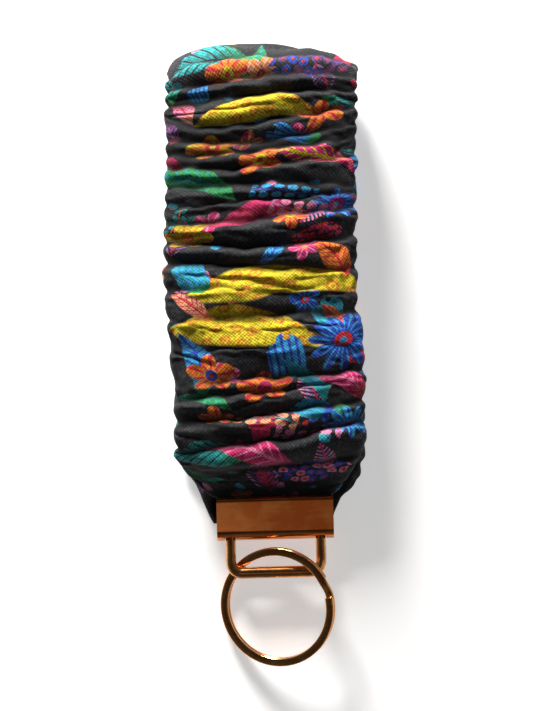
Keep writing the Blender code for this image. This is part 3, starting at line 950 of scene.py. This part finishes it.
def settle_cloth(points, height):
    """Let the spare cloth crumple between the valleys, which the stretched elastic holds."""
    faces = [[vertex(*corner) for corner in quad] for quad in skin_quads(len(points))]
    cloth = link_mesh("cloth_run", points * CLOTH_SCALE, faces)
    cloth.shape_key_add(name="start")
    rest = cloth.shape_key_add(name="rest")
    rest.data.foreach_set("co", (points * (1.0, CLOTH_SPARE, 1.0) * CLOTH_SCALE).ravel())
    held = cloth.vertex_groups.new(name="held")
    held.add(np.nonzero(height.ravel() < HELD_BELOW)[0].tolist(), 1.0, "REPLACE")

    elastic = frame["nodes"]["elastic_band"].data
    places = np.array([point.co for point in elastic.vertices])
    band = collider("elastic_run", places, [tuple(f.vertices) for f in elastic.polygons], 0.3 * MM)
    corners = np.array([(-0.3, -0.3, 0.0), (0.3, -0.3, 0.0), (0.3, 0.3, 0.0), (-0.3, 0.3, 0.0)])
    ground = collider("ground_run", corners, [(0, 1, 2, 3)], 0.1 * MM)

    modifier = cloth.modifiers.new("cloth", "CLOTH")
    modifier.settings.rest_shape_key = rest
    modifier.settings.effector_weights.gravity = 0.0
    for name, value in CLOTH_SETTINGS.items():
        setattr(modifier.settings, name, value)
    for name, value in TOUCH_SETTINGS.items():
        setattr(modifier.collision_settings, name, value)
    scene = bpy.context.scene
    for frame_number in range(1, CLOTH_FRAMES + 1):
        scene.frame_set(frame_number)
    settled = cloth.evaluated_get(bpy.context.evaluated_depsgraph_get()).data
    places = np.empty(len(settled.vertices) * 3)
    settled.vertices.foreach_get("co", places)
    for piece in (cloth, band, ground):
        bpy.data.objects.remove(piece)
    scene.frame_set(1)
    move = places.reshape(points.shape) / CLOTH_SCALE - points
    size = np.linalg.norm(move, axis=2, keepdims=True)
    return points + move * np.minimum(1.0, CLOTH_MOST_MOVE / np.maximum(size, 1e-9))


def inner_skin(points, thickness):
    """The inner skin of a tube of cloth: its points moved inwards by its thickness."""
    before = np.roll(points, 1, axis=1)
    after = np.roll(points, -1, axis=1)
    forward = np.gradient(points, axis=0)
    normal = np.cross(after - before, forward)
    normal /= np.linalg.norm(normal, axis=2, keepdims=True)
    return points - normal * thickness


def shell_faces(along, uv):
    """Quads of both skins and the two rims that join them, with the map at each corner."""
    last = along - 1
    quads = [[(0, *corner) for corner in quad] for quad in skin_quads(along)]
    quads += [[(1, *corner) for corner in reversed(quad)] for quad in skin_quads(along)]
    columns = [(j, j + 1) for j in range(ROUND_POINTS)]
    quads += [[(0, 0, j), (1, 0, j), (1, 0, k), (0, 0, k)] for j, k in columns]
    quads += [[(0, last, k), (1, last, k), (1, last, j), (0, last, j)] for j, k in columns]
    skin_size = along * ROUND_POINTS
    faces = [[skin * skin_size + vertex(i, j) for skin, i, j in quad] for quad in quads]
    return faces, [uv[i, j] for quad in quads for _, i, j in quad]


def point_finder(points, uv, unit_n, apex):
    """A function that finds the cloth's place below x and y on the strap's upper side."""
    upper = points[:apex, unit_n > 0.2].reshape(-1, 3)
    upper_uv = uv[:apex, :ROUND_POINTS][:, unit_n > 0.2].reshape(-1, 2)

    def find(x, y):
        away = (upper[:, 0] - x) ** 2 + (upper[:, 1] - y) ** 2
        return upper_uv[np.argmin(away)]

    return find


def sleeve_mesh(points, height, uv):
    """The cloth with its thickness, its map, and how raised each point is."""
    faces, corners = shell_faces(len(points), uv)
    both = np.concatenate([points, inner_skin(points, CLOTH_THICK)])
    sleeve = link_mesh("gathered_sleeve", both, faces)
    layer = sleeve.data.uv_layers.new(name=CLOTH_MAP)
    layer.data.foreach_set("uv", np.array(corners, dtype=np.float32).ravel())
    raised = sleeve.data.attributes.new(RAISED, "FLOAT", "POINT")
    raised.data.foreach_set("value", np.concatenate([height, height]).ravel())
    sleeve.data.shade_smooth()
    smoother = sleeve.modifiers.new("smoother", "SUBSURF")
    smoother.levels = smoother.render_levels = 1
    return sleeve


def make_sleeve():
    points, height, hidden, around = sleeve_points()
    points = settle_cloth(points, height)
    uv = cloth_map(points, hidden, around)
    sleeve = sleeve_mesh(points, height, uv)

    _, unit_n, _ = round_section(PUFF_SQUARENESS)
    apex = np.argmax(points[..., 1].mean(axis=1))
    apex_along = float(uv[apex, :, 1].mean())
    cloth_point = point_finder(points, uv, unit_n, apex)
    cotton = make_cotton(cloth_point, around / MM, apex_along + REPEAT_PAST_FOLD)
    finish_piece(sleeve, cotton, "fabric_sleeve", "strap")


# --- metal ---

CLAMP_HALF_THICK = CLAMP_HIGH[2] / 2
CLAMP_HALF_WIDTH = CLAMP_HIGH[0]
SHEET = 0.8 * MM
FOLD_REACH = 2.9 * MM
FOLD_STEPS = 12
LIP_LENGTH = 1.5 * MM
LIP_DROP = 1.0 * MM
# Support points this far from the ends of the flat faces keep them flat under smooth shading.
FLAT_MARGIN = 0.3 * MM
CORNER_RADIUS = 1.4 * MM
CORNER_STEPS = 8
SLOT_HALF_WIDTH = 1.6 * MM
SLOT_HALF_HEIGHT = 3.0 * MM
SLOT_HALF_DEPTH = 4.0 * MM
SLOT_SIDES = 24
BROKEN_EDGE = 0.16 * MM

LOOP_AXIS = JOINT_PLACES["loop_swing"]
BAR_AXIS = JOINT_PLACES["ring_swing"]
LEG_X = 12.4 * MM
WIRE_RADIUS = 1.4 * MM
BAR_BEND = 3.0 * MM
HIDDEN_BEND = 1.8 * MM
BEND_STEPS = 12
WIRE_SIDES = 28
# Where the ring hangs, the bar is pressed this much wider and thinner.
PRESSED_WIDER = 0.2 * MM
PRESSED_THINNER = 0.05 * MM
PRESSED_REACH = 2.5 * MM

RING_RADIUS = (RING_HIGH[1] - RING_LOW[1]) / 2
RING_TILT = math.radians(-18.0)
RING_RADIAL_HALF = 1.1 * MM
TURN_HALF_THICK = 0.6 * MM
TURN_GAP = 0.1 * MM
STEP_START = math.radians(29.0)
STEP_ANGLE = math.radians(16.0)
END_GAP = math.radians(1.5)
RING_STATIONS = 280
RING_SIDES = 24
# Places along the wire as shares of it, and the share of the full section there.
RING_END = ((0.0, 0.72), (0.0006, 0.9), (0.0015, 1.0))

# Base colour, colour where worn, roughness, and how scratches run along x, y and z.
PLATE = ((0.66, 0.2, 0.05, 1.0), (0.82, 0.36, 0.11, 1.0), 0.13, (0.15, 1.0, 1.0))
WIRE = ((0.62, 0.25, 0.08, 1.0), (0.82, 0.44, 0.16, 1.0), 0.16, (1.0, 1.0, 1.0))


def make_metal(name, base, worn, roughness, scratch_axis):
    """Rose-gold plate with drifting tone, fine scratches and specks, and yellower worn places."""
    material, tree, shader = new_material(name)
    place = object_place(tree)
    stretch = vector_math("MULTIPLY", place, scratch_axis)
    drift = noise(place, 160.0)
    scratches = noise(stretch, 900.0, 3.0)
    specks = noise(place, 2400.0)
    wear = ((drift - 0.5) * 3.0 + (scratches - 0.5) * 1.2 + 0.25).clamped()
    set_inputs(shader, Base_Color=mix_colour(wear, base, worn), Metallic=1.0)
    rough = scratches * 0.12 + specks * 0.05 + drift * 0.06 + (roughness - 0.1)
    set_inputs(shader, Roughness=rough)
    finish_surface(shader, scratches + specks * 0.5, 0.12, 0.02 * MM)
    return material


def finish_piece(piece, material, node, body):
    piece.data.materials.append(material)
    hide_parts(node)
    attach(piece, body)


def sweep(name, stations, closed=False):
    """A bar through rings of points, with its ends filled unless it is closed."""
    shape = bmesh.new()
    rings = [[shape.verts.new(point) for point in ring] for ring in stations]
    sides = len(rings[0])
    for index in range(len(rings) if closed else len(rings) - 1):
        first, second = rings[index], rings[(index + 1) % len(rings)]
        for corner in range(sides):
            following = (corner + 1) % sides
            shape.faces.new((first[corner], first[following], second[following], second[corner]))
    if not closed:
        shape.faces.new(rings[0])
        shape.faces.new(rings[-1])
    bmesh.ops.recalc_face_normals(shape, faces=shape.faces)
    mesh = bpy.data.meshes.new(name)
    shape.to_mesh(mesh)
    shape.free()
    return add_object(name, mesh)


def prism(name, outline, half_depth, place):
    """A block made by extruding a closed outline both ways. place turns (depth, a, b) to a point."""
    return sweep(name, [[place(depth, a, b) for a, b in outline] for depth in (-half_depth, half_depth)])


def line_direction(before, after):
    """The unit vector from one point of a plane to another."""
    return Vector((after[0] - before[0], after[1] - before[1])).normalized()


def full_circle(count):
    """Even angles round a circle."""
    return [2.0 * math.pi * step / count for step in range(count)]


def pushed_out(value, power):
    """A sine or cosine pushed away from 0, which squares off a round section."""
    return math.copysign(abs(value) ** power, value)


def clamp_outline():
    """Closed outline (y, z) of the folded sheet: one side's outer line, then the inner one."""
    outer = []
    for step in range(CORNER_STEPS + 1):
        share = step / CORNER_STEPS
        outer.append((CLAMP_HIGH[1] - LIP_LENGTH * share, -LIP_DROP * (1.0 - share) ** 2))
    fold_y = LOOP_AXIS.y
    outer += [(outer[-1][0] - FLAT_MARGIN, 0.0), (fold_y + FLAT_MARGIN, 0.0), (fold_y, 0.0)]
    for step in range(1, FOLD_STEPS):
        angle = math.pi / 2 * step / FOLD_STEPS
        drop = CLAMP_HALF_THICK * (math.cos(angle) - 1.0)
        outer.append((fold_y - FOLD_REACH * math.sin(angle), drop))
    half = [(y, CLAMP_HALF_THICK + drop) for y, drop in outer]
    whole = half + [(fold_y - FOLD_REACH, 0.0)] + [(y, -z) for y, z in reversed(half)]
    inner = []
    for index, (y, z) in enumerate(whole):
        if index in (0, len(whole) - 1):
            along = Vector((1.0 if index else -1.0, 0.0))
        else:
            along = line_direction(whole[index - 1], whole[index + 1])
        inner.append((y - along.y * SHEET, z + along.x * SHEET))
    return whole + inner[::-1]


def corner_keeper():
    """A block with the clamp's front outline, rounded at the mouth's corners."""
    right = [(CLAMP_HALF_WIDTH, CLAMP_LOW[1] - 5 * MM)]
    for step in range(CORNER_STEPS + 1):
        angle = math.pi / 2 * step / CORNER_STEPS
        x = CLAMP_HALF_WIDTH - CORNER_RADIUS * (1.0 - math.cos(angle))
        y = CLAMP_HIGH[1] - CORNER_RADIUS * (1.0 - math.sin(angle))
        right.append((x, y))
    outline = right + [(-x, y) for x, y in reversed(right)]
    return prism("corner_keeper", outline, 10 * MM, lambda depth, x, y: Vector((x, y, depth)))


def slot_cutter(side):
    """A rounded block that cuts the fold open where a leg of the loop swings."""
    outline = []
    for angle in full_circle(SLOT_SIDES):
        across = pushed_out(math.cos(angle), 0.5)
        up = pushed_out(math.sin(angle), 0.35)
        outline.append((side * LEG_X + across * SLOT_HALF_WIDTH, up * SLOT_HALF_HEIGHT))
    middle = LOOP_AXIS.y - SLOT_HALF_DEPTH
    return prism(
        "slot_cutter",
        outline,
        SLOT_HALF_DEPTH,
        lambda depth, x, z: Vector((x, middle + depth, CLAMP_HALF_THICK + z)),
    )


def make_clamp(material):
    """The folded sheet with a lip that bends in at the mouth, slots, and broken edges."""
    clamp = prism(
        "crimped_clamp",
        clamp_outline(),
        CLAMP_HALF_WIDTH,
        lambda x, y, z: Vector((x, y, CLAMP_HALF_THICK + z)),
    )
    clamp.data.shade_smooth()
    cutters = [(corner_keeper(), "INTERSECT")]
    cutters += [(slot_cutter(side), "DIFFERENCE") for side in (-1, 1)]
    for cutter, operation in cutters:
        cut = clamp.modifiers.new("cut", "BOOLEAN")
        cut.object = cutter
        cut.operation = operation
        cut.solver = "EXACT"
    broken = clamp.modifiers.new("broken_edges", "BEVEL")
    broken.width = BROKEN_EDGE
    broken.segments = 3
    broken.angle_limit = math.radians(40.0)
    broken.harden_normals = True
    finished = clamp.evaluated_get(bpy.context.evaluated_depsgraph_get())
    mesh = bpy.data.meshes.new_from_object(finished)
    clamp.modifiers.clear()
    clamp.data = mesh
    for cutter, _ in cutters:
        bpy.data.objects.remove(cutter)
    finish_piece(clamp, material, "clamp", "strap")


def loop_line(reach):
    """Closed middle line (x, distance from the clamp's axis) of the bent wire."""
    corners = (
        (LEG_X - BAR_BEND, reach - BAR_BEND, BAR_BEND, 0.0),
        (BAR_BEND - LEG_X, reach - BAR_BEND, BAR_BEND, 90.0),
        (HIDDEN_BEND - LEG_X, HIDDEN_BEND, HIDDEN_BEND, 180.0),
        (LEG_X - HIDDEN_BEND, HIDDEN_BEND, HIDDEN_BEND, 270.0),
    )
    line = []
    for x, distance, radius, start in corners:
        for step in range(BEND_STEPS + 1):
            angle = math.radians(start + 90.0 * step / BEND_STEPS)
            line.append((x + radius * math.cos(angle), distance + radius * math.sin(angle)))
    return line


def make_loop(material):
    """Round wire bent to a rectangle. Its bar is pressed slightly flat where the ring hangs."""
    to_bar = BAR_AXIS - LOOP_AXIS
    reach = math.hypot(to_bar.z, to_bar.y)
    rise = math.atan2(to_bar.z, -to_bar.y)
    outward = Vector((0.0, -math.cos(rise), math.sin(rise)))
    across = Vector((1.0, 0.0, 0.0))
    above = across.cross(outward)
    line = loop_line(reach)
    stations = []
    for index, (x, distance) in enumerate(line):
        along = line_direction(line[index - 1], line[(index + 1) % len(line)])
        side = across * along.y - outward * along.x
        centre = LOOP_AXIS + across * x + outward * distance
        pressed = float(ease(reach - PRESSED_REACH, reach, distance))
        wide = side * (WIRE_RADIUS + PRESSED_WIDER * pressed)
        tall = above * (WIRE_RADIUS - PRESSED_THINNER * pressed)
        stations.append(
            [centre + wide * math.cos(a) + tall * math.sin(a) for a in full_circle(WIRE_SIDES)]
        )
    loop = sweep("bent_wire_loop", stations, closed=True)
    loop.data.shade_smooth()
    finish_piece(loop, material, "wire_loop", "wire_loop")


def ring_station(turned, place, share):
    """Points round the flat wire at an angle along its turns, with share of its full section."""
    half = TURN_HALF_THICK + TURN_GAP / 2
    height = mix(-half, half, ease(2.0 * math.pi - STEP_ANGLE, 2.0 * math.pi, turned))
    angle = STEP_START + turned
    outward = Vector((math.cos(angle), math.sin(angle), 0.0))
    middle = outward * (RING_RADIUS - RING_RADIAL_HALF) + Vector((0.0, 0.0, height))
    ring = []
    for around in full_circle(RING_SIDES):
        wide = pushed_out(math.cos(around), 0.55) * RING_RADIAL_HALF
        tall = pushed_out(math.sin(around), 0.55) * TURN_HALF_THICK
        ring.append(place @ (middle + outward * wide * share + Vector((0.0, 0.0, tall * share))))
    return ring


def make_ring(material):
    """Two turns of flat wire with softened edges, lying tilted over the loop's bar."""
    stack = 2 * TURN_HALF_THICK + TURN_GAP / 2
    height = RING_RADIUS * math.sin(-RING_TILT) + stack * math.cos(RING_TILT)
    centre = Vector((0.0, RING_LOW[1] + RING_RADIUS, height))
    place = Matrix.Translation(centre) @ Matrix.Rotation(RING_TILT, 4, "Y")
    whole = 4.0 * math.pi - STEP_ANGLE - 2 * END_GAP
    stops = [*RING_END, *((step / RING_STATIONS, 1.0) for step in range(1, RING_STATIONS))]
    stops += [(1.0 - stop, share) for stop, share in reversed(RING_END)]
    stations = [ring_station(END_GAP + whole * stop, place, share) for stop, share in stops]
    ring = sweep("two_turn_ring", stations)
    ring.data.shade_smooth()
    ring.data.set_sharp_from_angle(angle=math.radians(60.0))
    finish_piece(ring, material, "split_ring", "split_ring")


def make_hardware():
    plate = make_metal("rose_gold_plate", *PLATE)
    wire = make_metal("rose_gold_wire", *WIRE)
    make_clamp(plate)
    make_loop(wire)
    make_ring(wire)


# --- inner parts ---


def dress_node(node, material_name, pattern, dark, light, roughness):
    """Give a CAD part a material that goes from dark to light as pattern says."""
    material, tree, shader = new_material(material_name)
    share = pattern(*split_vector(object_place(tree)))
    colour = mix_colour(share, dark, light)
    set_inputs(shader, Base_Color=colour, Roughness=roughness)
    mesh = frame["nodes"][node].data
    mesh.materials.clear()
    mesh.materials.append(material)


def elastic_pattern(x, y, z):
    """Ribs along the elastic, and fainter threads across it."""
    ribs = waves(x, 0.9 * MM)
    return ribs * 0.6 + waves(y + z, 0.6 * MM) * 0.2


def thread_pattern(x, y, z):
    """The slanting twist of a sewing thread."""
    return waves(y * 0.8 + x + z, 0.35 * MM)


def dress_inner_parts():
    cream = ((0.5, 0.48, 0.45, 1.0), (0.78, 0.76, 0.72, 1.0))
    black = ((0.012, 0.012, 0.014, 1.0), (0.05, 0.05, 0.055, 1.0))
    dress_node("elastic_band", "woven_elastic", elastic_pattern, *cream, 0.8)
    dress_node("seam_thread", "black_thread", thread_pattern, *black, 0.65)


bpy.context.scene.view_settings.view_transform = "Standard"
make_camera()
make_world()
make_stage()
make_lights()
make_sleeve()
make_hardware()
dress_inner_parts()
